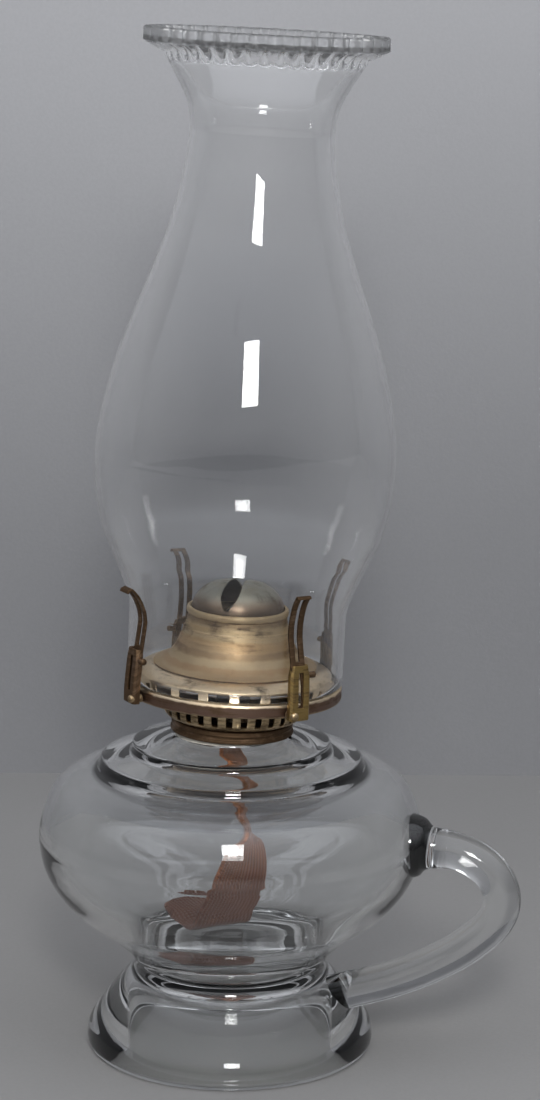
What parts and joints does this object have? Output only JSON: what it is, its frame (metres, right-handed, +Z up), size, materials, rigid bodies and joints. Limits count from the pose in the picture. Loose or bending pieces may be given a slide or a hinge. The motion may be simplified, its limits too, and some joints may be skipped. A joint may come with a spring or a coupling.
{
  "type": "finger lamp",
  "caption": "Pressed glass finger lamp with a ring handle, a flat wick burner with spring prongs, and a clear glass chimney with a crimped flared top.",
  "frame": {"origin": "middle of the bounding box, on the surface that the foot stands on", "axes": "+Z up the lamp, +X towards the ring handle, -Y towards the viewer with the ring handle at the right; the thumbwheel points along +Y"},
  "size_m": [0.1686, 0.1328, 0.3532],
  "materials": {
    "font_glass": "clear pressed glass, smooth",
    "chimney_glass": "clear blown glass, smooth and thin",
    "cone_brass": "spun brass with brown streaks",
    "worn_brass": "worn brass with a dull brown film",
    "dark_brass": "old brass tarnished dark brown",
    "grey_metal": "plated brass gone grey and dull",
    "plaster": "dry plaster",
    "cotton_wick": "woven cotton stained rust brown"
  },
  "bodies": {
    "font": {"glass_font": "font_glass", "collar": "dark_brass", "collar_cement": "plaster"},
    "burner": {"burner_base": "dark_brass", "air_basket": "dark_brass", "air_screen": "dark_brass", "burner_deck": "worn_brass", "cone_gallery": "worn_brass", "draft_cone": "cone_brass", "flame_dome": "grey_metal", "wick_tube": "worn_brass", "raiser_bracket": "dark_brass"},
    "raiser": {"wick_shaft": "worn_brass", "spur_wheel_front": "worn_brass", "spur_wheel_back": "worn_brass", "thumbwheel": "worn_brass"},
    "wick_strap": {"wick": "cotton_wick"},
    "chimney_glass": {"chimney": "chimney_glass"},
    "spring_back_right": {"prong_back_right": "dark_brass", "prong_rivet_back_right": "worn_brass"},
    "spring_back_left": {"prong_back_left": "dark_brass", "prong_rivet_back_left": "worn_brass"},
    "spring_front_left": {"prong_front_left": "dark_brass", "prong_rivet_front_left": "worn_brass"},
    "spring_front_right": {"prong_front_right": "dark_brass", "prong_rivet_front_right": "worn_brass"}
  },
  "joints": [
    {"name": "burner_unscrew", "type": "hinge", "parent": "font", "child": "burner", "pos_m": [-0.01789, 0, 0.112], "axis": [0.0421, 0.0113, 0.999], "range_deg": [0, 1080]},
    {"name": "raiser_turn", "type": "hinge", "parent": "burner", "child": "raiser", "pos_m": [-0.024, 0.00013, 0.12377], "axis": [0.0002, -0.9999, 0.0113], "range_deg": [-30, 100]},
    {"name": "wick_slide", "type": "slide", "parent": "burner", "child": "wick_strap", "axis": [0.0421, 0.0113, 0.999], "range_m": [-0.0024, 0.008]},
    {"name": "chimney_lift", "type": "slide", "parent": "burner", "child": "chimney_glass", "axis": [0.0421, 0.0113, 0.999], "range_m": [0, 0.08]},
    {"name": "spring_back_right_flex", "type": "hinge", "parent": "burner", "child": "spring_back_right", "pos_m": [0.00935, 0.02676, 0.12666], "axis": [-0.7066, 0.7072, 0.0218], "range_deg": [0, 8], "stiffness_Nm_per_rad": 0.3, "springref_deg": -3.44},
    {"name": "spring_back_left_flex", "type": "hinge", "parent": "burner", "child": "spring_back_left", "pos_m": [-0.04378, 0.02677, 0.1289], "axis": [-0.7063, -0.7069, 0.0378], "range_deg": [0, 8], "stiffness_Nm_per_rad": 0.3, "springref_deg": -3.44},
    {"name": "spring_front_left_flex", "type": "hinge", "parent": "burner", "child": "spring_front_left", "pos_m": [-0.04377, -0.0264, 0.12951], "axis": [0.7066, -0.7072, -0.0218], "range_deg": [0, 8], "stiffness_Nm_per_rad": 0.3, "springref_deg": -3.44},
    {"name": "spring_front_right_flex", "type": "hinge", "parent": "burner", "child": "spring_front_right", "pos_m": [0.01115, -0.02449, 0.12717], "axis": [0.6553, 0.7545, -0.0362], "range_deg": [0, 8], "stiffness_Nm_per_rad": 0.3, "springref_deg": -3.44}
  ],
  "couplings": [
    {"joint": "raiser_turn", "follows": "wick_slide", "rad_per_m": 217.39}
  ]
}
